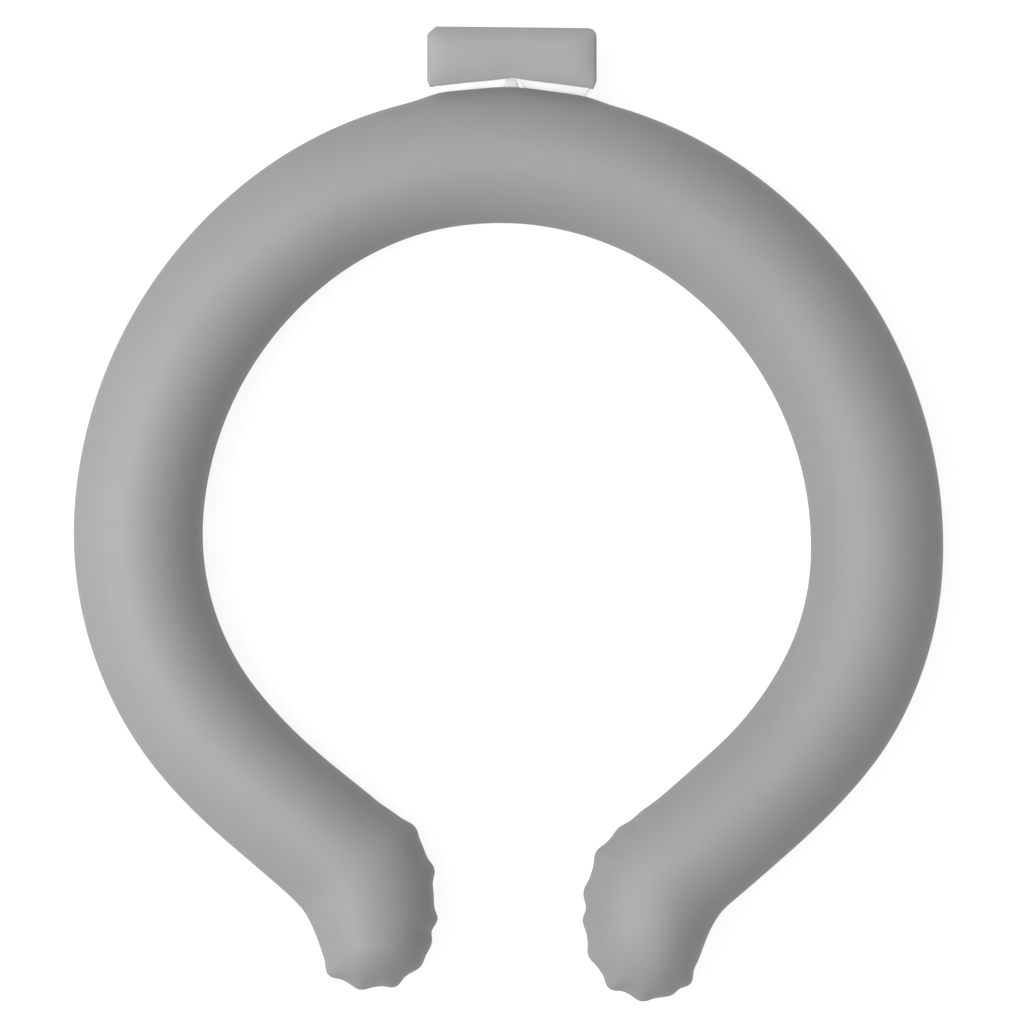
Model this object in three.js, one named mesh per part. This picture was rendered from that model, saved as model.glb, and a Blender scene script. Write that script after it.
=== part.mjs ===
// Cooling neck ring, in millimetres, +Z up: an open ring of soft film filled with gel, lying on its side.
//
// The ring is two sheets of film, welded to each other along one closed line and filled through a small
// tab at the back of the neck. Full, the bag is round in section, and the weld runs at mid height all round
// it: along the outer side, round each tip and back along the neck side. So the skin is drawn as ribs that
// stand on the weld, each one running from the spine underneath, out over the weld and up to the spine on
// top.
//
// In plan the hole is for the neck, -Y is the mouth that opens at the throat, and +Y is the neck's back.

import * as THREE from 'three';
import { LoftGeometry } from 'three/addons/geometries/LoftGeometry.js';
import { mergeVertices } from 'three/addons/utils/BufferGeometryUtils.js';

// Sizes of the ring
const ringRadius = 65; // from the middle of the neck hole to the middle of the tube
const tubeWidth = 23.3; // across the tube, seen from above
const tubeHeight = 23; // from the flat that it rests on to its top

// Sizes of the weld
const puckerRise = 1.0; // how far a full pucker of the film stands out at a tip
const puckerReach = 2.4; // along the weld, from the top of a pucker to its foot
const puckerFade = 6; // the higher, the sooner a pucker ends above and below the weld
const lipRise = 1.05; // how far the weld stands proud of the ring at the filling passage
const lipEnd = 0.65; // the same at either end of the strip
const lipFade = 4.5; // along the weld, from the end of the strip to no lip
const lipFold = 16; // as puckerFade: the lip is only a narrow ledge

// Sizes of the fill tab, and of the strip that joins it to the ring
const tabShift = 1.8; // from the middle of the ring towards +X
const tabWidth = 30;
const tabDepth = 9.1; // at its middle, from the strip to its far edge
const tabHeight = 2.8; // at the crown of the little pillow
const tabRim = 0.9; // thickness of its welded rim
const tabCorner = 1.5; // cut off each far corner
const tabFoot = 0.5; // cut off each near corner, along the edge
const tabFootRise = 0.8; // the same, along the end
const tabGap = 1.15; // from the ring to the tab
const webWidth = 25.4; // of the strip, along the ring
const webFlare = 1.5; // how much further each end of the strip reaches at the tab
const webHeight = 0.7; // two sheets of film, welded flat
const passageWidth = 3.0; // of the pinched filling passage through the strip
const passageHeight = 1.5;
const passageBevel = 0.2;
const filmGap = 0.2; // between neighbouring pieces

// Steps of the mesh
const tubeSides = 22; // flats round the tube: one faces straight down, and each side has its weld at a corner
const wideStep = 5.7; // along the arms
const backStep = 2.2; // along the lip
const tipStep = 1.1; // along the end of an arm, where the film puckers
const capSteps = 36; // round a tip
const cornerSteps = 4; // round a far corner of the tab
const easeRounds = 15; // where the weld of the outer side turns into the tip

// The arms, from the back of the neck to the tips.
// Each bend turns the route by so many degrees and then runs straight on; radius and run are shares of
// ringRadius. The tip bends forwards, out of the ring. Its radius and run, and the cap that rounds off its
// end, are shares of the tube's half width, as the widths of the tube on the neck side and on the outer side
// are. Widths are given at shares of the arm's length, and tip widths at half widths back from the end of
// the route.
// Puckers are counted along the weld in half widths: back along the neck side from the end of the route
// where at is negative, and on round the tip where it is positive. Their rise is a share of a full pucker.
const leftArm = {
  bends: [
    { turn: 36.3, radius: 0.938, run: 0 },
    { turn: 48.6, radius: 1.068, run: 0 },
    { turn: 45.7, radius: 0.862, run: 0 },
    { turn: 8.8, radius: 1.429, run: 0.24 },
  ],
  tip: { turn: 40.3, radius: 1.139, run: 0.644, cap: 0.723 },
  widths: [
    { at: 0, neck: 1.015, outer: 1.0 },
    { at: 0.11, neck: 0.998, outer: 0.989 },
    { at: 0.73, neck: 0.987, outer: 0.987 },
    { at: 0.84, neck: 0.972, outer: 0.973 },
  ],
  tipWidths: [
    { back: 1.5, neck: 0.998, outer: 0.973 },
    { back: 1.05, neck: 1.125, outer: 0.998 },
    { back: 0.65, neck: 1.08, outer: 0.934 },
    { back: 0.3, neck: 1.052, outer: 0.808 },
    { back: 0, neck: 0.935, outer: 0.767 },
  ],
  puckers: [
    { at: -1.63, rise: 0.72 },
    { at: -0.93, rise: 1.01 },
    { at: -0.14, rise: 1.0 },
    { at: 0.17, rise: 0.31 },
    { at: 0.57, rise: 0.43 },
    { at: 1.03, rise: 0.98 },
    { at: 1.54, rise: 0.61 },
    { at: 2.03, rise: 1.0 },
  ],
};
const rightArm = {
  bends: [
    { turn: 27.3, radius: 0.963, run: 0 },
    { turn: 64.7, radius: 1.073, run: 0 },
    { turn: 36.0, radius: 0.826, run: 0 },
    { turn: 11.7, radius: 1.266, run: 0.231 },
  ],
  tip: { turn: 43.0, radius: 1.139, run: 0.29, cap: 1.103 },
  widths: [
    { at: 0, neck: 1.015, outer: 1.0 },
    { at: 0.11, neck: 1.023, outer: 1.014 },
    { at: 0.71, neck: 1.013, outer: 1.013 },
    { at: 0.825, neck: 0.971, outer: 0.972 },
  ],
  tipWidths: [
    { back: 1.5, neck: 0.95, outer: 0.988 },
    { back: 1.05, neck: 0.976, outer: 0.984 },
    { back: 0.65, neck: 1.094, outer: 0.992 },
    { back: 0.3, neck: 1.096, outer: 0.957 },
    { back: 0, neck: 1.039, outer: 0.794 },
  ],
  puckers: [
    { at: -1.52, rise: 0.59 },
    { at: -1.02, rise: 0.78 },
    { at: -0.42, rise: 0.69 },
    { at: 0.02, rise: 0.82 },
    { at: 0.55, rise: 0.67 },
    { at: 1.1, rise: 1.13 },
    { at: 1.59, rise: 0.73 },
    { at: 2.05, rise: 0.48 },
    { at: 2.39, rise: 1.33 },
  ],
};

const halfWidth = tubeWidth / 2;
const halfHeight = tubeHeight / 2;
const tipStretch = 2 * halfWidth; // the length of an arm's end that puckers
const backStretch = Math.abs(tabShift) + webWidth / 2 + lipFade; // the part of an arm that may carry the lip

// The middle line of an arm in plan, drawn towards +X from the back of the neck.
function armRoute(arm) {
  const route = new THREE.Path();
  const point = new THREE.Vector2(0, ringRadius);
  let heading = 0; // turned clockwise from +X

  function turn(degrees, radius) {
    const inwards = Math.sign(degrees);
    const centre = new THREE.Vector2(-Math.sin(heading), -Math.cos(heading));
    centre.multiplyScalar(inwards * radius).add(point);
    const start = (inwards * Math.PI) / 2 - heading;
    heading += THREE.MathUtils.degToRad(degrees);
    const end = (inwards * Math.PI) / 2 - heading;
    route.absarc(centre.x, centre.y, radius, start, end, inwards > 0);
    point.set(Math.sin(heading), Math.cos(heading)).multiplyScalar(inwards * radius).add(centre);
  }

  function run(length) {
    point.x += length * Math.cos(heading);
    point.y -= length * Math.sin(heading);
    route.lineTo(point.x, point.y);
  }

  route.moveTo(point.x, point.y);
  for (const bend of arm.bends) {
    turn(bend.turn, bend.radius * ringRadius);
    if (bend.run > 0) run(bend.run * ringRadius);
  }
  turn(-arm.tip.turn, arm.tip.radius * halfWidth);
  run(arm.tip.run * halfWidth);
  return route;
}

// Places along an arm, in millimetres from the back: close together at the lip and at the tip.
function stations(length) {
  const stretches = [
    { to: backStretch, step: backStep },
    { to: length - tipStretch, step: wideStep },
    { to: length, step: tipStep },
  ];
  const places = [0];
  let from = 0;
  for (const { to, step } of stretches) {
    const steps = Math.ceil((to - from) / step);
    for (let i = 1; i <= steps; i++) places.push(from + ((to - from) * i) / steps);
    from = to;
  }
  return places;
}

// The outer edge of the ring at the nape, without its lip, at a distance x from the middle of the ring.
function ringEdge(x) {
  const arm = x > 0 ? rightArm : leftArm;
  const radius = arm.bends[0].radius * ringRadius;
  const reach = radius + arm.widths[0].outer * halfWidth;
  return ringRadius - radius + Math.sqrt(reach ** 2 - x ** 2);
}

// The weld of the lip runs straight from the filling passage to either end of the strip.
function lipEdge(x) {
  const side = x < tabShift ? -1 : 1;
  const share = Math.abs(x - tabShift) / (webWidth / 2);
  const end = ringEdge(tabShift + (side * webWidth) / 2) + lipEnd;
  return THREE.MathUtils.lerp(ringEdge(tabShift) + lipRise, end, share);
}

// How far the lip stands out of the ring.
function lipAt(x) {
  const past = Math.abs(x - tabShift) - webWidth / 2;
  if (past < 0) return lipEdge(x) - ringEdge(x);
  return lipEnd * (1 - THREE.MathUtils.smoothstep(past, 0, lipFade));
}

// How far the puckers stand out, at a distance along the weld from the end of the route.
function puckerAt(puckers, along) {
  let rise = 0;
  for (const pucker of puckers) {
    const near = Math.abs(along - pucker.at * halfWidth) / puckerReach;
    if (near < 1) rise += pucker.rise * puckerRise * Math.cos((near * Math.PI) / 2) ** 2;
  }
  return rise;
}

// Eases a line from a given point on: film takes no sharp corner. In each round every point is drawn halfway
// to the middle of its neighbours.
function ease(points, first) {
  for (let round = 0; round < easeRounds; round++) {
    const before = points.map((point) => point.clone());
    for (let i = first; i < points.length - 1; i++) {
      const middle = before[i - 1].clone().lerp(before[i + 1], 0.5);
      points[i].lerp(middle, 0.5);
    }
  }
}

// One rib of skin: from the spine underneath, over the weld and up to the spine on top. What the weld stands
// out by fades above and below it.
function rib(spine, edge, outwards, rise, fade) {
  const facet = (2 * Math.PI) / tubeSides;
  const most = (tubeSides - 2) / 4; // corners between the weld and the flat on top
  const points = [new THREE.Vector3(spine.x, spine.y, -halfHeight)];
  for (let corner = -most; corner <= most; corner++) {
    const reach = Math.cos(corner * facet);
    const height = (halfHeight * Math.sin(corner * facet)) / Math.cos(facet / 2);
    const place = new THREE.Vector2().lerpVectors(spine, edge, reach);
    place.addScaledVector(outwards, rise * reach ** fade);
    points.push(new THREE.Vector3(place.x, place.y, height));
  }
  points.push(new THREE.Vector3(spine.x, spine.y, halfHeight));
  return points;
}

// The ribs of one arm, from the back along the outer side, round the tip, and back along the neck side. The
// arm is laid towards +X where side is 1 and towards -X where it is -1.
function armRibs(arm, side) {
  const route = armRoute(arm);
  const length = route.getLength();
  const rows = [
    ...arm.widths.map((row) => ({ ...row, place: row.at * length })),
    ...arm.tipWidths.map((row) => ({ ...row, place: length - row.back * halfWidth })),
  ];

  function widthAt(place, column) {
    const last = Math.min(rows.length - 2, rows.findLastIndex((row) => row.place <= place));
    const [from, to] = [rows[last], rows[last + 1]];
    const share = THREE.MathUtils.smoothstep(place, from.place, to.place);
    return halfWidth * THREE.MathUtils.lerp(from[column], to[column], share);
  }

  const mirror = new THREE.Vector2(side, 1);
  const crossings = stations(length).map((place) => {
    const spine = route.getPoint(place / length).multiply(mirror);
    const ahead = route.getTangent(place / length).multiply(mirror);
    const outwards = new THREE.Vector2(-ahead.y, ahead.x).multiplyScalar(side);
    return { place, spine, ahead, outwards, neck: widthAt(place, 'neck'), outer: widthAt(place, 'outer') };
  });

  const outerEdges = crossings.map(({ spine, outwards, outer }) => {
    return spine.clone().addScaledVector(outwards, outer);
  });
  ease(outerEdges, crossings.findIndex(({ place }) => place >= length - tipStretch));
  const outerRibs = crossings.map(({ spine, outwards }, i) => {
    const lip = outerEdges[i].y > 0 ? lipAt(outerEdges[i].x) : 0;
    return rib(spine, outerEdges[i], outwards, lip, lipFold);
  });

  // The neck side from the end of the route backwards, counting the weld back from there.
  const neckRibs = [];
  const backwards = [...crossings].reverse();
  let along = 0;
  let last = null;
  for (const { spine, outwards, neck } of backwards) {
    const edge = spine.clone().addScaledVector(outwards, -neck);
    if (last) along -= edge.distanceTo(last);
    last = edge;
    neckRibs.push(rib(spine, edge, outwards.clone().negate(), puckerAt(arm.puckers, along), puckerFade));
  }

  // The tip, round the end of the route from the neck side to the outer side.
  const end = crossings[crossings.length - 1];
  const cap = arm.tip.cap * halfWidth;
  const capRibs = [];
  along = 0;
  last = end.spine.clone().addScaledVector(end.outwards, -end.neck);
  for (let i = 1; i < capSteps; i++) {
    const angle = (Math.PI * i) / capSteps;
    const across = Math.cos(angle) > 0 ? end.neck : end.outer;
    const edge = end.spine.clone().addScaledVector(end.outwards, -across * Math.cos(angle));
    edge.addScaledVector(end.ahead, cap * Math.sin(angle));
    const outwards = end.outwards.clone().multiplyScalar(-Math.cos(angle) / across);
    outwards.addScaledVector(end.ahead, Math.sin(angle) / cap).normalize();
    along += edge.distanceTo(last);
    last = edge;
    capRibs.push(rib(end.spine, edge, outwards, puckerAt(arm.puckers, along), puckerFade));
  }
  return [...outerRibs, ...capRibs.reverse(), ...neckRibs];
}

// Welds a surface to one closed body, and drops the faces that a shared spine has closed up.
function closedBody(geometry) {
  const skin = new THREE.BufferGeometry().setIndex(geometry.getIndex());
  skin.setAttribute('position', geometry.getAttribute('position'));
  const body = mergeVertices(skin);
  const corners = body.getIndex().array;
  const faces = [];
  for (let i = 0; i < corners.length; i += 3) {
    const [a, b, c] = corners.slice(i, i + 3);
    if (a !== b && b !== c && c !== a) faces.push(a, b, c);
  }
  body.setIndex(faces);
  body.computeVertexNormals();
  return body;
}

// The skin runs out along one arm, back to the neck's nape, and out and back along the other.
function coolingTube() {
  const right = armRibs(rightArm, 1);
  const left = armRibs(leftArm, -1).reverse().slice(1, -1);
  return closedBody(new LoftGeometry([...right, ...left, right[0]], { closed: false }));
}

// The near edge of the tab follows the lip.
function tabEdge(x) {
  return lipEdge(x) + tabGap;
}

// The corners of an edge that goes with the lip from one x to another: it turns at the filling passage.
function edgeCorners(from, to, edgeAt) {
  const turn = (tabShift - from) * (tabShift - to) < 0 ? [tabShift] : [];
  return [from, ...turn, to].map((x) => new THREE.Vector2(x, edgeAt(x)));
}

// A piece of the strip between ring and tab, welded flat unless it has a bevel. It widens towards the tab.
function stripPiece(from, to, height, bevel) {
  const flare = 1 + (2 * webFlare) / webWidth;
  const [farFrom, farTo] = [from, to].map((x) => tabShift + (x - tabShift) * flare);
  const near = edgeCorners(from, to, (x) => lipEdge(x) + filmGap);
  const far = edgeCorners(farTo, farFrom, (x) => tabEdge(x) - filmGap);
  const strip = new THREE.ExtrudeGeometry(new THREE.Shape([...near, ...far]), {
    depth: height - 2 * bevel,
    bevelEnabled: bevel > 0,
    bevelThickness: bevel,
    bevelSize: bevel / 2,
    bevelOffset: -bevel / 2,
    bevelSegments: 2,
  });
  strip.translate(0, 0, bevel - height / 2);
  return closedBody(strip);
}

// The outline of the tab in plan: its near edge, then the ends and the far edge.
function tabOutline() {
  const left = tabShift - tabWidth / 2;
  const right = tabShift + tabWidth / 2;
  const far = tabEdge(tabShift) + tabDepth;
  const outline = new THREE.Shape(edgeCorners(left + tabFoot, right - tabFoot, tabEdge));
  outline.lineTo(right, tabEdge(right) + tabFootRise);
  outline.lineTo(right, far - tabCorner);
  outline.quadraticCurveTo(right, far, right - tabCorner, far);
  outline.lineTo(left + tabCorner, far);
  outline.lineTo(left, far - tabCorner);
  outline.lineTo(left, tabEdge(left) + tabFootRise);
  return outline.getPoints(cornerSteps);
}

// The tab is a thin bag: its rim is welded, and its two faces swell towards the crown. Inset is a share of
// half the tab's depth, and swell a share of what the crown stands above the rim.
function fillTab() {
  const profile = [
    { inset: 0, swell: 0 },
    { inset: 0.08, swell: 0.1 },
    { inset: 0.2, swell: 0.5 },
    { inset: 0.38, swell: 0.82 },
    { inset: 0.62, swell: 1 },
  ];
  const outline = tabOutline();
  const box = new THREE.Box2().setFromPoints(outline);
  const centre = box.getCenter(new THREE.Vector2());
  const half = box.getSize(new THREE.Vector2()).multiplyScalar(0.5);

  function level({ inset, swell }, side) {
    const shrink = new THREE.Vector2(1 - (inset * half.y) / half.x, 1 - inset);
    const height = THREE.MathUtils.lerp(tabRim / 2, tabHeight / 2, swell);
    return outline.map((corner) => {
      const place = corner.clone().sub(centre).multiply(shrink).add(centre);
      return new THREE.Vector3(place.x, place.y, side * height);
    });
  }

  const under = [...profile].reverse().map((row) => level(row, -1));
  const over = profile.map((row) => level(row, 1));
  return closedBody(new LoftGeometry([...under, ...over], { capStart: true, capEnd: true }));
}

function film(color, roughness) {
  return new THREE.MeshStandardMaterial({ color, roughness, metalness: 0 });
}

// The whole part stands with its flat underside at zero and the middle of its outline over the origin.
function neckRing() {
  const ring = new THREE.Group();
  const greyFilm = film(0x9a9b9c, 0.55);
  const milkyFilm = film(0xe9e9e6, 0.4);

  function add(name, geometry, material) {
    const mesh = new THREE.Mesh(geometry, material.clone());
    mesh.name = name;
    ring.add(mesh);
  }

  const passage = passageWidth / 2;
  const web = webWidth / 2;
  add('cooling_tube', coolingTube(), greyFilm);
  add('film_web_left', stripPiece(tabShift - web, tabShift - passage - filmGap, webHeight, 0), milkyFilm);
  const passageBody = stripPiece(tabShift - passage, tabShift + passage, passageHeight, passageBevel);
  add('fill_passage', passageBody, film(0xd6d6d5, 0.45));
  add('film_web_right', stripPiece(tabShift + passage + filmGap, tabShift + web, webHeight, 0), milkyFilm);
  add('fill_tab', fillTab(), film(0xacacae, 0.55));

  const bounds = new THREE.Box3().setFromObject(ring);
  const middle = bounds.getCenter(new THREE.Vector3());
  ring.position.set(-middle.x, -middle.y, -bounds.min.z);
  return ring;
}

export default neckRing();
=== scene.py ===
# %% [markdown]
# # Cooling neck ring
# The object is an open ring of soft grey film that is filled tight with gel and worn round the neck.
# Its parts are the tube, a milky welded strip at the nape, the pinched passage through which the gel
# went in, and a small flat tab beyond it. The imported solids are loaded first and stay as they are.
# Every piece that is made below stands where its solid stands, and hides it.

# %% Load the solids
from math import ceil, copysign, cos, exp, pi, radians, sin, sqrt

import bmesh
import bpy
from mathutils import Matrix, Vector


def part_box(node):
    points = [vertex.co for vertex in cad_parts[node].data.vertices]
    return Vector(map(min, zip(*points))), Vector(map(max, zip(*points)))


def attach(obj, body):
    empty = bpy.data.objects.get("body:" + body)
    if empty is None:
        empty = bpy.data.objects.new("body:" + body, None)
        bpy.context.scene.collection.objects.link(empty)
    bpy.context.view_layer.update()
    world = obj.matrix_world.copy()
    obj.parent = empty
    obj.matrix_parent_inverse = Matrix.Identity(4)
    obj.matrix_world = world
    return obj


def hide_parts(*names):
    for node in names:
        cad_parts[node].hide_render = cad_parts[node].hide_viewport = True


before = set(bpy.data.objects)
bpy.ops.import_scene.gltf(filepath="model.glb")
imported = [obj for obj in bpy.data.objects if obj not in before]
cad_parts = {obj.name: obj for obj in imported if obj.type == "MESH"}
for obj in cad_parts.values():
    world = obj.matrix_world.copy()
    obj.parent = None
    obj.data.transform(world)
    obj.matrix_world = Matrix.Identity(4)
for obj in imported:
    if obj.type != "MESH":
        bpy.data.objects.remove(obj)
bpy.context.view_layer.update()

print("solids:", ", ".join(sorted(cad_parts)))

# %% [markdown]
# ## Sizes
# The same few sizes describe every piece. Where the pieces lie in the row's frame is read off the
# solids: the tab gives the place in plan, and the tube gives the height of the weld.

# %% Sizes of the ring and its tab
MM = 0.001

RING_RADIUS = 65 * MM  # from the middle of the neck hole to the middle of the tube
HALF_WIDTH = 11.65 * MM  # of the tube, seen from above
HALF_HEIGHT = 11.5 * MM

LIP_RISE = 1.05 * MM  # how far the weld stands proud of the ring at the filling passage
LIP_END_LEFT = 0.82 * MM  # the same at the left end of the strip
LIP_END_RIGHT = 0.65 * MM  # and at its right end
LIP_FADE = 4.5 * MM  # along the weld, from the end of the strip to no lip
TAB_SHIFT = 1.8 * MM  # from the middle of the ring towards +X
TAB_WIDTH = 30 * MM
TAB_DEPTH = 9.1 * MM  # at its middle
TAB_GAP = 1.15 * MM  # from the ring to the tab
WEB_WIDTH = 25.4 * MM
PASSAGE_WIDTH = 3.0 * MM

MERGE = 0.01 * MM  # vertices of the tube that lie closer than this are one
FINE_MERGE = 0.005 * MM  # the same for the small pieces
MIRROR_MERGE = 0.001 * MM
NO_REACH = 1e-6  # below this a vertex reaches to neither side
ROUNDING = 1e-9  # what a sum of steps may be short of

# %% [markdown]
# ## The line of each arm
# The tube is no true circle: each arm bends a little more here and less there, and its tip turns
# forwards again. A table of bends says so in the fewest numbers, and each one is a turn about its own
# centre, which is what Spin does. Radius and run are shares of the ring's radius. The tip's own bend,
# and the widths on the neck side and the outer side, are shares of the tube's half width.
# The tight outer edge of each tip gathers the film into puckers. They are counted along the weld from
# the end of the arm, in half widths: backwards along the neck side, and forwards round the tip.

# %% Tables of the two arms
LEFT_ARM = {
    "side": -1,
    "bends": [
        {"turn": 36.3, "radius": 0.938, "run": 0},
        {"turn": 48.6, "radius": 1.068, "run": 0},
        {"turn": 45.7, "radius": 0.862, "run": 0},
        {"turn": 8.8, "radius": 1.429, "run": 0.24},
    ],
    "tip": {"turn": 40.3, "radius": 1.139, "run": 0.644, "cap": 0.723},
    "widths": [
        {"at": 0, "neck": 1.015, "outer": 1.0},
        {"at": 0.11, "neck": 0.998, "outer": 0.989},
        {"at": 0.73, "neck": 0.987, "outer": 0.987},
        {"at": 0.84, "neck": 0.972, "outer": 0.973},
    ],
    "tip_widths": [
        {"back": 1.5, "neck": 0.998, "outer": 0.973},
        {"back": 1.05, "neck": 1.125, "outer": 0.998},
        {"back": 0.65, "neck": 1.08, "outer": 0.934},
        {"back": 0.3, "neck": 1.052, "outer": 0.808},
        {"back": 0, "neck": 0.935, "outer": 0.767},
    ],
    "puckers": [
        {"at": -1.63, "rise": 0.72},
        {"at": -0.93, "rise": 1.01},
        {"at": -0.14, "rise": 1.0},
        {"at": 0.17, "rise": 0.31},
        {"at": 0.57, "rise": 0.43},
        {"at": 1.03, "rise": 0.98},
        {"at": 1.54, "rise": 0.61},
        {"at": 2.03, "rise": 1.0},
    ],
}
RIGHT_ARM = {
    "side": 1,
    "bends": [
        {"turn": 27.3, "radius": 0.963, "run": 0},
        {"turn": 64.7, "radius": 1.073, "run": 0},
        {"turn": 36.0, "radius": 0.826, "run": 0},
        {"turn": 11.7, "radius": 1.266, "run": 0.231},
    ],
    "tip": {"turn": 43.0, "radius": 1.139, "run": 0.29, "cap": 1.103},
    "widths": [
        {"at": 0, "neck": 1.015, "outer": 1.0},
        {"at": 0.11, "neck": 1.023, "outer": 1.014},
        {"at": 0.71, "neck": 1.013, "outer": 1.013},
        {"at": 0.825, "neck": 0.971, "outer": 0.972},
    ],
    "tip_widths": [
        {"back": 1.5, "neck": 0.95, "outer": 0.988},
        {"back": 1.05, "neck": 0.976, "outer": 0.984},
        {"back": 0.65, "neck": 1.094, "outer": 0.992},
        {"back": 0.3, "neck": 1.096, "outer": 0.957},
        {"back": 0, "neck": 1.039, "outer": 0.794},
    ],
    "puckers": [
        {"at": -1.52, "rise": 0.59},
        {"at": -1.02, "rise": 0.78},
        {"at": -0.42, "rise": 0.69},
        {"at": 0.02, "rise": 0.82},
        {"at": 0.55, "rise": 0.67},
        {"at": 1.1, "rise": 1.13},
        {"at": 1.59, "rise": 0.73},
        {"at": 2.05, "rise": 0.48},
        {"at": 2.35, "rise": 1.15},
    ],
}

# %% [markdown]
# ## Where everything lies
# At the nape the film of the strip pulls the weld out of the ring's round edge, to a low lip that runs
# straight from the filling passage to either end of the strip. The strip and the near edge of the tab
# follow it. One function gives that line, and with it the far edge of the tab, so the frame's own tab
# says where the middle of the neck hole is.

# %% The weld at the nape, and the middle of the ring
def ring_edge(x):
    """The outer edge of the ring without its lip, at a distance x from the middle of the ring."""
    arm = RIGHT_ARM if x > 0 else LEFT_ARM
    radius = arm["bends"][0]["radius"] * RING_RADIUS
    reach = radius + arm["widths"][0]["outer"] * HALF_WIDTH
    return RING_RADIUS - radius + sqrt(reach**2 - x**2)


def lip_end(x):
    """How far the lip stands out of the ring at the end of the strip, on the side that x is on."""
    return LIP_END_LEFT if x < TAB_SHIFT else LIP_END_RIGHT


def lip_edge(x):
    """The weld of the lip: straight from the filling passage to either end of the strip."""
    share = abs(x - TAB_SHIFT) / (WEB_WIDTH / 2)
    end = ring_edge(TAB_SHIFT + copysign(WEB_WIDTH / 2, x - TAB_SHIFT)) + lip_end(x)
    return (1 - share) * (ring_edge(TAB_SHIFT) + LIP_RISE) + share * end


tab_low, tab_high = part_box("fill_tab")
tube_low, tube_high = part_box("cooling_tube")
MIDDLE = Vector((
    (tab_low[0] + tab_high[0]) / 2 - TAB_SHIFT,
    tab_high[1] - (lip_edge(TAB_SHIFT) + TAB_GAP + TAB_DEPTH),
    (tube_low[2] + tube_high[2]) / 2,
))
print("middle of the neck hole in mm:", [round(side / MM, 3) for side in MIDDLE])

# %% [markdown]
# ## The camera
# The ring was photographed straight from above, from so far away that it shows no perspective. A long
# lens does the same: a wide one would show the inner side of the tube. The distance follows from the
# width that the picture takes in at the height of the weld, which is the outline that one sees.

# %% Camera
PICTURE_WIDTH = 181.25 * MM
PICTURE_SHIFT = Vector((1.825, 2.125, 0)) * MM  # of its middle, from the middle of the neck hole
LENS = 200.0  # millimetres, on a sensor 36 mm wide

camera_data = bpy.data.cameras.new("long_lens")
camera_data.lens = LENS
camera_data.sensor_width = 36.0
camera_data.clip_end = 20.0
camera = bpy.data.objects.new("camera", camera_data)
bpy.context.collection.objects.link(camera)
above = PICTURE_WIDTH * LENS / camera_data.sensor_width
camera.location = MIDDLE + PICTURE_SHIFT + Vector((0, 0, above))
bpy.context.scene.camera = camera
print("camera height in mm:", round(camera.location.z / MM, 1))

# %% [markdown]
# ## A round section, carried along the arm
# A full bag of film is round in section, so the tube starts as one circle that stands across the back
# of the ring. It is spun about the centre of each bend, and pushed on along each straight run, step by
# step. A curve with a round bevel would be quicker, but a carried section keeps a corner of every ring
# exactly on the weld, and that is where the shape needs it. Each vertex remembers how far it reaches
# out from the spine: 1 at the outer weld, -1 at the weld on the neck side, 0 on top and underneath.

# %% Carry the section
TUBE_SIDES = 40
ARM_STEP = 2.4 * MM
TIP_STEP = 0.6 * MM


def stretches(arm):
    """The bends and straight runs of an arm, as turn, radius, run and step."""
    for bend in arm["bends"]:
        yield radians(bend["turn"]), bend["radius"] * RING_RADIUS, 0, ARM_STEP
        if bend["run"] > 0:
            yield 0, 0, bend["run"] * RING_RADIUS, TIP_STEP
    tip = arm["tip"]
    yield -radians(tip["turn"]), tip["radius"] * HALF_WIDTH, 0, TIP_STEP
    yield 0, 0, tip["run"] * HALF_WIDTH, TIP_STEP


def carry_section(skin, reach, arm):
    """Carries a circle along an arm laid towards +X. Returns its stations, from the nape to the tip."""
    upright = Matrix.Translation((0, RING_RADIUS, 0)) @ Matrix.Rotation(pi / 2, 4, "Y")
    circle = bmesh.ops.create_circle(skin, segments=TUBE_SIDES, radius=HALF_WIDTH, matrix=upright)
    for vert in circle["verts"]:
        vert[reach] = (vert.co.y - RING_RADIUS) / HALF_WIDTH
        vert.co.z *= HALF_HEIGHT / HALF_WIDTH
    rim = dict.fromkeys(edge for vert in circle["verts"] for edge in vert.link_edges)
    ring = circle["verts"] + list(rim)  # every edge once

    spine, heading, place = Vector((0, RING_RADIUS, 0)), 0.0, 0.0
    stations = [{"ring": ring, "spine": spine, "heading": heading, "place": place}]
    for turn, radius, run, step in stretches(arm):
        inwards = copysign(radius, turn) * Vector((-sin(heading), -cos(heading), 0))
        centre = spine + inwards
        ahead = Vector((cos(heading), -sin(heading), 0))
        steps = ceil((abs(turn) * radius + run) / step)
        push = ahead * run / steps
        twist = Matrix.Rotation(-turn / steps, 3, "Z")
        for _ in range(steps):
            made = bmesh.ops.spin(
                skin, geom=ring, cent=centre, axis=(0, 0, 1), dvec=push, angle=-turn / steps, steps=1
            )
            ring = made["geom_last"]
            spine = centre + twist @ (spine - centre) + push
            heading += turn / steps
            place += (abs(turn) * radius + run) / steps
            stations.append({"ring": ring, "spine": spine, "heading": heading, "place": place})
    return stations


# %% [markdown]
# ## Round the tip
# The end of an arm closes like the end of a sausage skin, but the weld still runs round it at mid
# height. So the half of the last ring that faces the neck is spun half a turn about an upright axis,
# until it lies on the other half. Its top and bottom vertices stay on the axis and merge there later.

# %% Spin the cap
CAP_STEPS = 44


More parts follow.
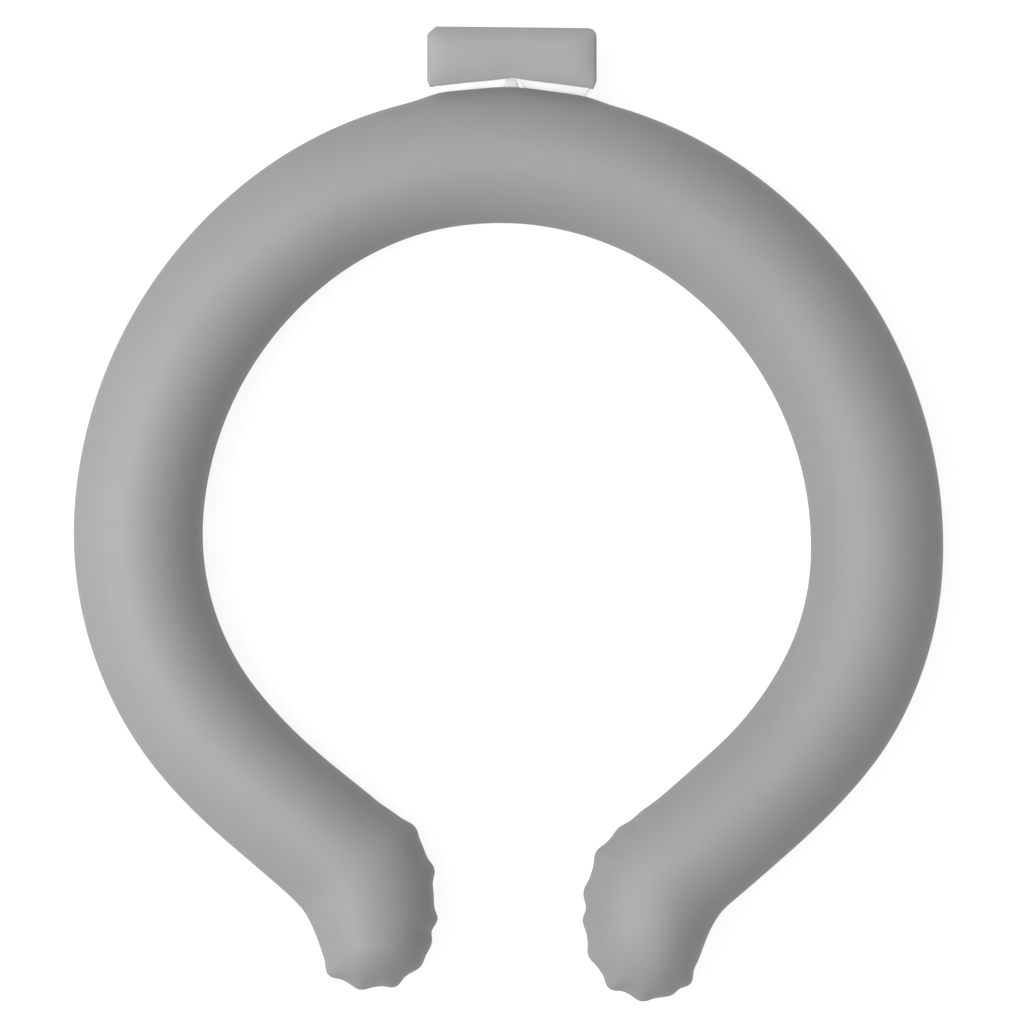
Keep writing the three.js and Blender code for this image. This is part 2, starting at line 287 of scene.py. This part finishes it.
def spin_cap(skin, reach, end):
    """Spins the neck half of the last ring round the tip. Returns the half rings with their angles."""
    verts = [part for part in end["ring"] if isinstance(part, bmesh.types.BMVert)]
    edges = [part for part in end["ring"] if isinstance(part, bmesh.types.BMEdge)]
    inside = [vert for vert in verts if vert[reach] < NO_REACH]
    half = inside + [edge for edge in edges if set(inside).issuperset(edge.verts)]
    caps = []
    for step in range(1, CAP_STEPS + 1):
        made = bmesh.ops.spin(
            skin, geom=half, cent=end["spine"], axis=(0, 0, 1), angle=pi / CAP_STEPS, steps=1
        )
        half = made["geom_last"]
        caps.append({"ring": half, "angle": pi * step / CAP_STEPS})
    return caps


# %% [markdown]
# ## Lay the skin on its weld
# The weld decides the outline, and the film between spine and weld follows. So every half ring is laid
# anew in plan: its vertices are spread between the spine and the place where the weld belongs there.
# Where the film puckers, or where the lip stands out at the tab, the weld moves out and the film above
# and below it comes along less and less.

# %% Lay one half ring
PUCKER_RISE = 1.0 * MM  # how far a full pucker of the film stands out at a tip
PUCKER_REACH = 2.4 * MM  # along the weld, from the top of a pucker to its foot
PUCKER_FADE = 8  # power of the reach: the higher, the sooner a pucker ends above the weld
LIP_FOLD = 16  # the same for the lip, which is only a narrow ledge
TIP_STRETCH = 2 * HALF_WIDTH  # of the arm, where its outer weld turns into the tip
EASE_ROUNDS = 50  # film takes no sharp corner there
EASED_CAP = CAP_STEPS // 8  # the first steps of the cap, counted from the outer side
WELD_BEAD = 0.2 * MM  # what the finished seam stands out by


def lay(ring, reach, side, spine, weld, outwards, rise, fade):
    """Lays the vertices of a ring that reach to one side."""
    for vert in ring:
        if not isinstance(vert, bmesh.types.BMVert) or vert[reach] * side < -NO_REACH:
            continue
        out = abs(vert[reach])
        place = spine.lerp(weld, out) + outwards * rise * out**fade
        vert.co.xy = place.xy


def pucker_at(arm, along):
    """How far the weld stands out, at a distance along it from the end of the arm."""
    rise = 0
    for pucker in arm["puckers"]:
        near = abs(along - pucker["at"] * HALF_WIDTH) / PUCKER_REACH
        if near < 1:
            rise += pucker["rise"] * PUCKER_RISE * cos(near * pi / 2) ** 2
    return rise


def smooth(share):
    """From 0 to 1 with a soft start and a soft end."""
    share = min(max(share, 0.0), 1.0)
    return share * share * (3 - 2 * share)


def lip_at(x):
    """How far the lip stands out of the ring, at a distance x from its middle."""
    past = abs(x - TAB_SHIFT) - WEB_WIDTH / 2
    return lip_edge(x) - ring_edge(x) if past < 0 else lip_end(x) * (1 - smooth(past / LIP_FADE))


def ease(places, first):
    """Rounds off a line from a place on: each one is drawn halfway to the middle of its neighbours."""
    for _ in range(EASE_ROUNDS):
        before = [place.copy() for place in places]
        for index in range(first, len(places) - 1):
            middle = (before[index - 1] + before[index + 1]) / 2
            places[index] = before[index].lerp(middle, 0.5)


# %% Lay a whole arm
def lay_arm(arm, reach, stations, caps):
    """Gives an arm its true widths, its lip and its puckers."""
    length = stations[-1]["place"]
    rows = [(row["at"] * length, row) for row in arm["widths"]]
    rows += [(length - row["back"] * HALF_WIDTH, row) for row in arm["tip_widths"]]

    def width_at(place, column):
        last = max(index for index, (start, _) in enumerate(rows[:-1]) if start <= place + ROUNDING)
        (start, row), (stop, following) = rows[last : last + 2]
        share = smooth((place - start) / (stop - start))
        return ((1 - share) * row[column] + share * following[column]) * HALF_WIDTH - WELD_BEAD

    def outwards_at(station):
        return Vector((sin(station["heading"]), cos(station["heading"]), 0))

    outer_weld = [
        station["spine"] + outwards_at(station) * width_at(station["place"], "outer")
        for station in stations
    ]
    end = stations[-1]
    spine, outwards = end["spine"], outwards_at(end)
    ahead = Vector((outwards.y, -outwards.x, 0))
    cap = arm["tip"]["cap"] * HALF_WIDTH - WELD_BEAD
    cap_weld, cap_normals = [], []
    for half in caps:
        angle = half["angle"]
        across = width_at(length, "neck" if cos(angle) > 0 else "outer")
        cap_weld.append(spine - outwards * across * cos(angle) + ahead * cap * sin(angle))
        cap_normals.append((ahead * sin(angle) / cap - outwards * cos(angle) / across).normalized())

    # The outer weld runs on round the end of the cap, whose half rings are counted the other way.
    first = next(i for i, station in enumerate(stations) if station["place"] >= length - TIP_STRETCH)
    joined = outer_weld + cap_weld[-2 : -EASED_CAP - 1 : -1]
    ease(joined, first)
    outer_weld = joined[: len(stations)]
    cap_weld[-EASED_CAP:] = joined[len(stations) - 1 :][::-1]

    for station, weld in zip(stations, outer_weld):
        rise = lip_at(arm["side"] * weld.x) if weld.y > 0 else 0
        lay(station["ring"], reach, 1, station["spine"], weld, outwards_at(station), rise, LIP_FOLD)

    along, last = 0.0, None
    for station in reversed(stations):
        weld = station["spine"] - outwards_at(station) * width_at(station["place"], "neck")
        along -= (weld - last).length if last else 0
        last = weld
        rise = pucker_at(arm, along)
        lay(station["ring"], reach, -1, station["spine"], weld, -outwards_at(station), rise, PUCKER_FADE)

    along, last = 0.0, spine - outwards * width_at(length, "neck")
    for half, weld, normal in zip(caps, cap_weld, cap_normals):
        along += (weld - last).length
        last = weld
        lay(half["ring"], reach, -1, spine, weld, normal, pucker_at(arm, along), PUCKER_FADE)
    return length


# %% [markdown]
# ## Both arms, one skin
# The left arm is built like the right one and turned over to -X. The rings at the nape and the ends of
# the caps lie on each other now, so merging the doubles closes the bag. Turning an arm over leaves its
# faces inside out, so the normals are recalculated after the merge.

# %% Build the skin
def build_skin():
    """The closed skin of the tube, round its own middle."""
    skin = bmesh.new()
    reach = skin.verts.layers.float.new("reach")
    for arm in (RIGHT_ARM, LEFT_ARM):
        before = set(skin.verts)
        stations = carry_section(skin, reach, arm)
        caps = spin_cap(skin, reach, stations[-1])
        length = lay_arm(arm, reach, stations, caps)
        fresh = [vert for vert in skin.verts if vert not in before]
        bmesh.ops.scale(skin, vec=(arm["side"], 1, 1), verts=fresh)
        print("arm of", round(length / MM, 1), "mm in", len(stations), "stations")
    bmesh.ops.remove_doubles(skin, verts=skin.verts, dist=MERGE)
    bmesh.ops.recalc_face_normals(skin, faces=skin.faces)
    return skin, reach


skin, reach = build_skin()
print("open edges:", sum(not edge.is_manifold for edge in skin.edges), "of", len(skin.edges))

# %% [markdown]
# ## The seam
# Two sheets of film meet at the weld, and the melt leaves a fine bead there. Bevelling the edges on
# the weld gives three rows of vertices in place of one, and the middle row is pushed out. A separate
# cord along the seam would never blend into the film.

# %% Raise the seam
BEAD_WIDTH = 0.4 * MM


def raise_seam(skin, reach):
    """Bevels the weld and pushes its middle row out."""
    weld = [edge for edge in skin.edges if all(abs(vert.co.z) < MERGE for vert in edge.verts)]
    bmesh.ops.bevel(
        skin, geom=weld, offset=BEAD_WIDTH, offset_type="OFFSET", segments=2, profile=0.5,
        affect="EDGES", material=-1, clamp_overlap=True,
    )
    skin.normal_update()
    crest = [vert for vert in skin.verts if abs(vert.co.z) < MERGE]
    for vert, normal in [(vert, vert.normal.copy()) for vert in crest]:
        vert.co += normal * WELD_BEAD
    return len(weld), len(crest)


print("weld edges and crest vertices:", raise_seam(skin, reach))

# %% [markdown]
# ## Lying down
# The ring lies on its side, and the weight of the gel presses a strip a few millimetres wide flat
# against the table. The lower half is let down a quarter of a millimetre too far, and what would be
# under the table is brought back up to it. One subdivision then rounds the facets.

# %% Settle the ring and make it an object
PRESS = 0.25 * MM


def settle(skin):
    """Flattens the underside."""
    for vert in skin.verts:
        if vert.co.z < 0:
            vert.co.z = max(vert.co.z * (1 + PRESS / HALF_HEIGHT), -HALF_HEIGHT)


def make_piece(mesh_in_work, name, subdivisions):
    """Moves a finished bmesh to its place and makes it a smooth object that stands at the origin."""
    bmesh.ops.translate(mesh_in_work, vec=MIDDLE, verts=mesh_in_work.verts)
    mesh = bpy.data.meshes.new(name)
    mesh_in_work.to_mesh(mesh)
    mesh_in_work.free()
    mesh.polygons.foreach_set("use_smooth", [True] * len(mesh.polygons))
    piece = bpy.data.objects.new(name, mesh)
    bpy.context.collection.objects.link(piece)
    if subdivisions:
        rounding = piece.modifiers.new("rounding", "SUBSURF")
        rounding.levels = rounding.render_levels = subdivisions
    print(name, "has", len(mesh.polygons), "faces before its", subdivisions, "subdivisions")
    return piece


settle(skin)
tube_skin = make_piece(skin, "tube_skin", 1)
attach(tube_skin, "root")
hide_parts("cooling_tube")

# %% [markdown]
# ## The fill tab
# Beyond the strip lies a small flat pillow of the same film, with a little gel left in it. It is one
# grid, drawn out between the near edge, which follows the ring, and the far edge. Its rows shorten
# towards the cut corners, so they need no extra faces. A height for each vertex then gives the thin
# rim, the swell and the slight saddle above the pinched passage. The underside is the mirrored top.

# %% Sizes of the pillow
TAB_SLANT = 0.15 * MM  # the far edge rises so much at the left end, and falls so much at the right one
TAB_LEAN = 0.28 * MM  # the near edge is so much farther from the ring at its right end
TAB_CUTS = {  # how much each corner takes off along the side and along the end
    "far_left": (1.55 * MM, 1.35 * MM),
    "far_right": (1.55 * MM, 1.55 * MM),
    "near_left": (0.5 * MM, 1.1 * MM),
    "near_right": (0.55 * MM, 1.4 * MM),
}
TAB_RIM = 0.4 * MM  # half the thickness of the welded rim
RIM_ROUND = 0.2 * MM  # how far the rounding of its cut edge reaches in
TAB_CROWN = 1.38 * MM  # half the thickness at the crown
SWELL_START = 0.1 * MM  # from an edge to where the pillow starts to swell
END_SWELL = 4.0 * MM  # how far the slope reaches in from either end
NEAR_SWELL = 5.0 * MM  # from the near edge
FAR_SWELL = 3.2 * MM  # from the far edge
PINCH_SHARE = 0.12  # of the swell, which the pinched passage takes away, and twice that at the near edge
PINCH_SHIFT = 0.7 * MM  # from the middle of the tab towards +X
PINCH_REACH = 5 * MM  # to either side, and in from the near edge


# %% Shape the tab
def tab_edge(x):
    """The near edge of the tab: it follows the lip, and leans away from it towards its right end."""
    return lip_edge(x) + TAB_GAP + TAB_LEAN * (x - TAB_SHIFT) / (TAB_WIDTH / 2)


def corner_cut(cut, from_side, rounded):
    """How much shorter a row is at one end, at its distance from the side of the tab."""
    width, depth = cut
    left = max(0.0, 1 - from_side / depth)
    return width * (1 - sqrt(1 - left * left) if rounded else left)


def swell(distance, slope):
    """From 0 at the rim to 1 where the pillow is full, steep at first like a quarter of a circle."""
    part = min(distance / slope, 1.0)
    return sqrt(1 - (1 - part) ** 2) if part > 0 else 0.0


def pillow_height(x, from_end, from_near, from_far):
    """Half the thickness of the tab, at its distances from the end and from the two sides."""
    full = swell(from_end - SWELL_START, END_SWELL)
    full *= swell(from_near - SWELL_START, NEAR_SWELL) ** 2
    full *= swell(from_far - SWELL_START, FAR_SWELL) ** 2
    across = (x - TAB_SHIFT - PINCH_SHIFT) / PINCH_REACH
    pinch = exp(-(across**2)) * PINCH_SHARE * (1 + smooth(1 - from_near / PINCH_REACH))
    rim = TAB_RIM * swell(min(from_end, from_near, from_far), RIM_ROUND)
    return rim + (TAB_CROWN - TAB_RIM) * full * (1 - pinch)


def mirror_below(top):
    """Adds the mirror image of a top below the weld, and closes what is still open."""
    geometry = top.verts[:] + top.edges[:] + top.faces[:]
    bmesh.ops.mirror(top, geom=geometry, axis="Z", merge_dist=MIRROR_MERGE)
    bmesh.ops.remove_doubles(top, verts=top.verts, dist=FINE_MERGE)
    bmesh.ops.holes_fill(top, edges=[edge for edge in top.edges if edge.is_boundary], sides=0)
    bmesh.ops.recalc_face_normals(top, faces=top.faces)


def build_tab():
    """The pillow of the tab, round the middle of the ring."""
    tab = bmesh.new()
    bmesh.ops.create_grid(tab, x_segments=72, y_segments=28, size=1.0)
    for vert in tab.verts:
        u, v = sin(vert.co.x * pi / 2), sin(vert.co.y * pi / 2)  # closer rows near the edges
        near = tab_edge(TAB_SHIFT + u * TAB_WIDTH / 2)
        far = lip_edge(TAB_SHIFT) + TAB_GAP + TAB_DEPTH - u * TAB_SLANT
        from_near, from_far = (far - near) * (1 + v) / 2, (far - near) * (1 - v) / 2
        end = "left" if u < 0 else "right"
        pulled = corner_cut(TAB_CUTS["far_" + end], from_far, end == "right")
        pulled += corner_cut(TAB_CUTS["near_" + end], from_near, False)
        half = TAB_WIDTH / 2 - pulled
        x = TAB_SHIFT + u * half
        height = pillow_height(x, half * (1 - abs(u)), from_near, from_far)
        vert.co = Vector((x, near + from_near, height))
    mirror_below(tab)
    return tab


# %% Make the tab an object
tab = build_tab()
print("open edges of the tab:", sum(not edge.is_manifold for edge in tab.edges))
tab_pillow = make_piece(tab, "tab_pillow", 0)
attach(tab_pillow, "root")
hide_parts("fill_tab")

# %% [markdown]
# ## The strip between ring and tab
# Here the two sheets are welded flat and hold no gel, so they stay milky. The strip is a grid that
# starts inside the seam of the ring and ends inside the rim of the tab. It is a little wider at the
# tab, and it isn't quite flat: welding leaves soft ripples, and a small fold to the right of the
# passage. Solidify gives it the thickness of its two sheets.

# %% Shape the strip
WEB_FLARE = 1.5 * MM  # how much wider each end is at the tab
WEB_THICKNESS = 0.6 * MM
TUCK = 0.45 * MM  # how far the film runs on inside its neighbours
RIPPLE_RISE = 0.05 * MM
RIPPLE_LENGTH = 2 * pi * 1.3 * MM  # from crest to crest
CREASE_RISE = 0.3 * MM  # of the small fold, which is highest at the ring and ends at the tab
CREASE_WIDTH = 0.22 * MM
CREASE_START = 2.1 * MM  # from the middle of the strip, where the fold leaves the ring
CREASE_SLANT = 1.25 * MM  # how much nearer to the middle it is at the tab


def between(x, share):
    """The place at x, from the seam of the ring (0) to the rim of the tab (1), with the tucks."""
    start, stop = lip_edge(x) - TUCK, tab_edge(x) + TUCK
    return start + share * (stop - start)


def build_web():
    """The welded strip, round the middle of the ring."""
    web = bmesh.new()
    bmesh.ops.create_grid(web, x_segments=90, y_segments=8, size=1.0)
    for vert in web.verts:
        share = (vert.co.y + 1) / 2
        x = TAB_SHIFT + vert.co.x * (WEB_WIDTH / 2 + WEB_FLARE * share)
        ripple = RIPPLE_RISE * sin(2 * pi * x / RIPPLE_LENGTH) * sin(pi * share)
        from_crease = x - TAB_SHIFT - CREASE_START + CREASE_SLANT * share
        crease = CREASE_RISE * exp(-((from_crease / CREASE_WIDTH) ** 2)) * (1 - share)
        vert.co = Vector((x, between(x, share), ripple + crease))
    bmesh.ops.recalc_face_normals(web, faces=web.faces)
    bmesh.ops.solidify(web, geom=web.faces[:], thickness=WEB_THICKNESS)
    lift = WEB_THICKNESS / 2  # the second sheet was added underneath
    bmesh.ops.translate(web, vec=(0, 0, lift), verts=web.verts)
    bmesh.ops.recalc_face_normals(web, faces=web.faces)
    return web


# %% Make the strip an object
web = build_web()
heights = [vert.co.z / MM for vert in web.verts]
print("the strip lies from", round(min(heights), 2), "to", round(max(heights), 2), "mm about the weld")
film_web = make_piece(web, "film_web", 0)
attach(film_web, "root")
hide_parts("film_web_left", "film_web_right")

# %% [markdown]
# ## The filling passage
# The gel went in through a short passage across the strip, which was pinched shut afterwards. It is a
# flat blister on the strip, wider at the ring than at the tab, and a trace of gel in it makes it grey.

# %% Shape the passage
PASSAGE_MIDDLE = TAB_SHIFT - 0.1 * MM
PASSAGE_MOUTH = 1.08  # its width at the ring, as a share of its named width
PASSAGE_TAPER = 0.3  # the share that it loses on the way to the tab
PASSAGE_CROWN = 0.45 * MM
PASSAGE_PINCH = 0.12 * MM  # half its height inside the rim of the tab, where it was pinched shut
PINCH_POWER = 4  # the higher, the nearer to the tab it starts to drop
PASSAGE_SIDE = 1 / 3  # the share of its half width over which either side slopes up


def build_passage():
    """The pinched passage, round the middle of the ring."""
    passage = bmesh.new()
    bmesh.ops.create_grid(passage, x_segments=20, y_segments=12, size=1.0)
    for vert in passage.verts:
        u, share = vert.co.x, (vert.co.y + 1) / 2
        half = PASSAGE_WIDTH / 2 * (PASSAGE_MOUTH - PASSAGE_TAPER * share)
        x = PASSAGE_MIDDLE + u * half
        crown = PASSAGE_CROWN + (PASSAGE_PINCH - PASSAGE_CROWN) * share**PINCH_POWER
        vert.co = Vector((x, between(x, share), crown * smooth((1 - abs(u)) / PASSAGE_SIDE)))
    mirror_below(passage)
    return passage


# %% Make the passage an object
passage = build_passage()
print("open edges of the passage:", sum(not edge.is_manifold for edge in passage.edges))
passage_blister = make_piece(passage, "passage_blister", 0)
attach(passage_blister, "root")
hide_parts("fill_passage")

# %% [markdown]
# ## Finishes
# All pieces are soft TPU film, and what lies under it sets the colour. Colours are given as sRGB hex
# values, as they are read off a sample, and one function turns them linear. A second one adds a node,
# types in its values and makes its links, so that each material below reads as a short list.

# %% Helpers for the finishes
TPU_IOR = 1.5


def tone(hex_value):
    """A hex colour in sRGB as linear RGBA."""
    parts = [int(hex_value[i : i + 2], 16) / 255 for i in (1, 3, 5)]
    return [p / 12.92 if p <= 0.04045 else ((p + 0.055) / 1.055) ** 2.4 for p in parts] + [1.0]


def add_node(material, kind, inputs=None, **settings):
    """Adds a node. An input that is given a socket is linked, and any other is typed in."""
    tree = material.node_tree
    node = tree.nodes.new(kind)
    for name, value in settings.items():
        setattr(node, name, value)
    for name, value in (inputs or {}).items():
        if isinstance(value, bpy.types.NodeSocket):
            tree.links.new(value, node.inputs[name])
        else:
            node.inputs[name].default_value = value
    return node


def new_material(name):
    """A material without nodes."""
    material = bpy.data.materials.new(name)
    material.use_nodes = True
    material.node_tree.nodes.clear()
    return material


def finish_material(material, surface):
    """Links the shader to an output."""
    add_node(material, "ShaderNodeOutputMaterial", {"Surface": surface.outputs["BSDF"]})
    return material


# %% [markdown]
# ### Satin TPU film over grey gel
# The film of the tube is cast and then matted, so the eye sees a soft, broad light on it and no mirror
# image. The gel below is pigmented grey and slightly cloudy. The weld holds no gel, so it is a shade
# paler. The grain of a matted film is about 0.05 mm, far too fine to show here, so it is drawn ten
# times as coarse. The tab is the same film, painted a shade paler all over: that is painted light on
# its flat top. Its weld band, which covers the tab's rounded rim, is paler still: partly the weld
# without gel, partly painted light that fills the shade on the rim.

# %% Material of the tube and the tab
CLOUD_SIZE = 14 * MM
SEAM_SHARE = 0.7  # how much of the pale colour shows at the weld
SEAM_CORE = 0.15 * MM  # above and below the weld, with that share
SEAM_FADE = 0.45 * MM  # above and below the weld, to none
GRAIN_SIZE = 0.5 * MM
GRAIN_DEPTH = 0.06 * MM
GRAIN_GLOSS = 0.04  # how far the roughness goes up and down with the grain


def satin_film(name, gel, cloud, weld, roughness):
    """Matted TPU film with gel under it."""
    material = new_material(name)
    place = add_node(material, "ShaderNodeTexCoord").outputs["Object"]
    clouds = add_node(
        material, "ShaderNodeTexNoise",
        {"Vector": place, "Scale": 1 / CLOUD_SIZE, "Detail": 3.0, "Roughness": 0.5},
    )
    gel_colour = add_node(
        material, "ShaderNodeMix",
        {"Factor": clouds.outputs["Fac"], "A": tone(gel), "B": tone(cloud)},
        data_type="RGBA",
    )
    height = add_node(material, "ShaderNodeSeparateXYZ", {"Vector": place}).outputs["Z"]
    # This pale band lies on the weld of the tube, which holds no gel. On the tab it covers the rounded
    # rim, and there it is partly painted light that fills the rim's shade.
    from_weld = add_node(material, "ShaderNodeMath", {0: height, 1: MIDDLE.z}, operation="SUBTRACT")
    distance = add_node(material, "ShaderNodeMath", {0: from_weld.outputs[0]}, operation="ABSOLUTE")
    seam = add_node(
        material, "ShaderNodeMapRange",
        {
            "Value": distance.outputs[0], "From Min": SEAM_CORE, "From Max": SEAM_FADE,
            "To Min": SEAM_SHARE, "To Max": 0.0,
        },
    )
    colour = add_node(
        material, "ShaderNodeMix",
        {"Factor": seam.outputs["Result"], "A": gel_colour.outputs["Result"], "B": tone(weld)},
        data_type="RGBA",
    )
    grain = add_node(
        material, "ShaderNodeTexNoise",
        {"Vector": place, "Scale": 1 / GRAIN_SIZE, "Detail": 2.0, "Roughness": 0.6},
    ).outputs["Fac"]
    gloss = add_node(
        material, "ShaderNodeMapRange",
        {"Value": grain, "To Min": roughness - GRAIN_GLOSS, "To Max": roughness + GRAIN_GLOSS},
    )
    relief = add_node(
        material, "ShaderNodeBump", {"Height": grain, "Strength": 0.12, "Distance": GRAIN_DEPTH}
    )
    film = add_node(
        material, "ShaderNodeBsdfPrincipled",
        {
            "Base Color": colour.outputs["Result"],
            "Roughness": gloss.outputs["Result"],
            "Normal": relief.outputs["Normal"],
            "IOR": TPU_IOR,
            "Subsurface Weight": 0.12,
            "Subsurface Radius": (1.0, 1.0, 1.0),
            "Subsurface Scale": 1.2 * MM,
            "Specular IOR Level": 0.3,
        },
    )
    return finish_material(material, film)


full_film = satin_film("satin_tpu_film", gel="#777778", cloud="#7A7B7C", weld="#8A8B8C", roughness=0.58)
# The tab: the same film painted a shade paler as painted light, with a weld band that is partly painted
# light on its rim
tab_film_painted_paler = satin_film("tab_tpu_film_painted_paler", gel="#7E7E80", cloud="#818182", weld="#909092", roughness=0.55)
tube_skin.data.materials.append(full_film)
tab_pillow.data.materials.append(tab_film_painted_paler)

# %% [markdown]
# ### Milky welded film
# Heat and pressure have turned the film of the strip milky: light gets through it and is scattered, so
# it takes on the white of what lies below. The passage is the same film with a trace of gel behind it.

# %% Materials of the strip and the passage
STREAK_SIZE = 1.5 * MM
STREAK_DEPTH = 0.05 * MM


def milky_film(name, colour, streak, transmission):
    """Welded TPU film without gel."""
    material = new_material(name)
    place = add_node(material, "ShaderNodeTexCoord").outputs["Object"]
    streaks = add_node(
        material, "ShaderNodeTexNoise",
        {"Vector": place, "Scale": 1 / STREAK_SIZE, "Detail": 3.0, "Roughness": 0.6},
    ).outputs["Fac"]
    body = add_node(
        material, "ShaderNodeMix",
        {"Factor": streaks, "A": tone(colour), "B": tone(streak)},
        data_type="RGBA",
    )
    relief = add_node(
        material, "ShaderNodeBump", {"Height": streaks, "Strength": 0.2, "Distance": STREAK_DEPTH}
    )
    film = add_node(
        material, "ShaderNodeBsdfPrincipled",
        {
            "Base Color": body.outputs["Result"],
            "Normal": relief.outputs["Normal"],
            "Roughness": 0.35,
            "IOR": TPU_IOR,
            "Transmission Weight": transmission,
            "Subsurface Weight": 0.3,
            "Subsurface Radius": (1.0, 1.0, 1.0),
            "Subsurface Scale": 1.0 * MM,
        },
    )
    return finish_material(material, film)


clear_film = milky_film("milky_tpu_film", colour="#E2E2E1", streak="#D6D6D5", transmission=0.4)
pale_film = milky_film("pale_tpu_film", colour="#C0C0C0", streak="#B4B4B4", transmission=0.2)
film_web.data.materials.append(clear_film)
passage_blister.data.materials.append(pale_film)

# %% [markdown]
# ## Table, light and air
# The picture was made for a cut-out: the ground is white, and hardly any shadow shows. In a studio that
# is an opal table lit from below, which fills the shadows with light. A soft box stands close by on the
# left, so each arm is brighter on its left side, and the left arm is a little brighter than the right
# one. A larger one hangs over the ring, a little to the left too, and keeps the top of the tube bright.
# The white room fills the rest.

# %% Floor
TABLE_REACH = 4.0
TABLE_DROP = 0.05 * MM  # below the ring, whose flat underside would flicker in the same plane
TABLE_GREY = "#727272"
TABLE_GLOW = 0.86

table_mesh = bmesh.new()
bmesh.ops.create_grid(table_mesh, x_segments=1, y_segments=1, size=TABLE_REACH)
bmesh.ops.translate(table_mesh, vec=(0, 0, -TABLE_DROP), verts=table_mesh.verts)
floor_data = bpy.data.meshes.new("opal_table")
table_mesh.to_mesh(floor_data)
table_mesh.free()
floor = bpy.data.objects.new("opal_table", floor_data)
bpy.context.collection.objects.link(floor)

opal = new_material("opal_glass")
glow = add_node(
    opal, "ShaderNodeBsdfPrincipled",
    {
        "Base Color": tone(TABLE_GREY), "Roughness": 0.9, "Specular IOR Level": 0.0,
        "Emission Color": (1, 1, 1, 1), "Emission Strength": TABLE_GLOW,
    },
)
floor_data.materials.append(finish_material(opal, glow))

# %% Lights
AIR_STRENGTH = 0.54


def soft_box(name, tilt, bearing, distance, size, power):
    """A square soft box that looks at the ring, tilted from straight above towards a bearing."""
    data = bpy.data.lights.new(name, "AREA")
    data.shape = "SQUARE"
    data.size = size
    data.energy = power
    lamp = bpy.data.objects.new(name, data)
    bpy.context.collection.objects.link(lamp)
    turn = Matrix.Rotation(radians(bearing), 4, "Z") @ Matrix.Rotation(radians(tilt), 4, "Y")
    lamp.matrix_world = turn @ Matrix.Translation((0, 0, distance))
    print(name, "stands at", [round(side, 2) for side in lamp.matrix_world.translation])


soft_box("left_soft_box", tilt=40, bearing=180, distance=0.7, size=0.52, power=4.9)
soft_box("top_soft_box", tilt=12, bearing=180, distance=2.4, size=1.8, power=43)

world = bpy.data.worlds.new("studio_air")
world.use_nodes = True
air = world.node_tree.nodes["Background"]
air.inputs["Color"].default_value = (1, 1, 1, 1)
air.inputs["Strength"].default_value = AIR_STRENGTH
bpy.context.scene.world = world
bpy.context.scene.view_settings.view_transform = "Standard"
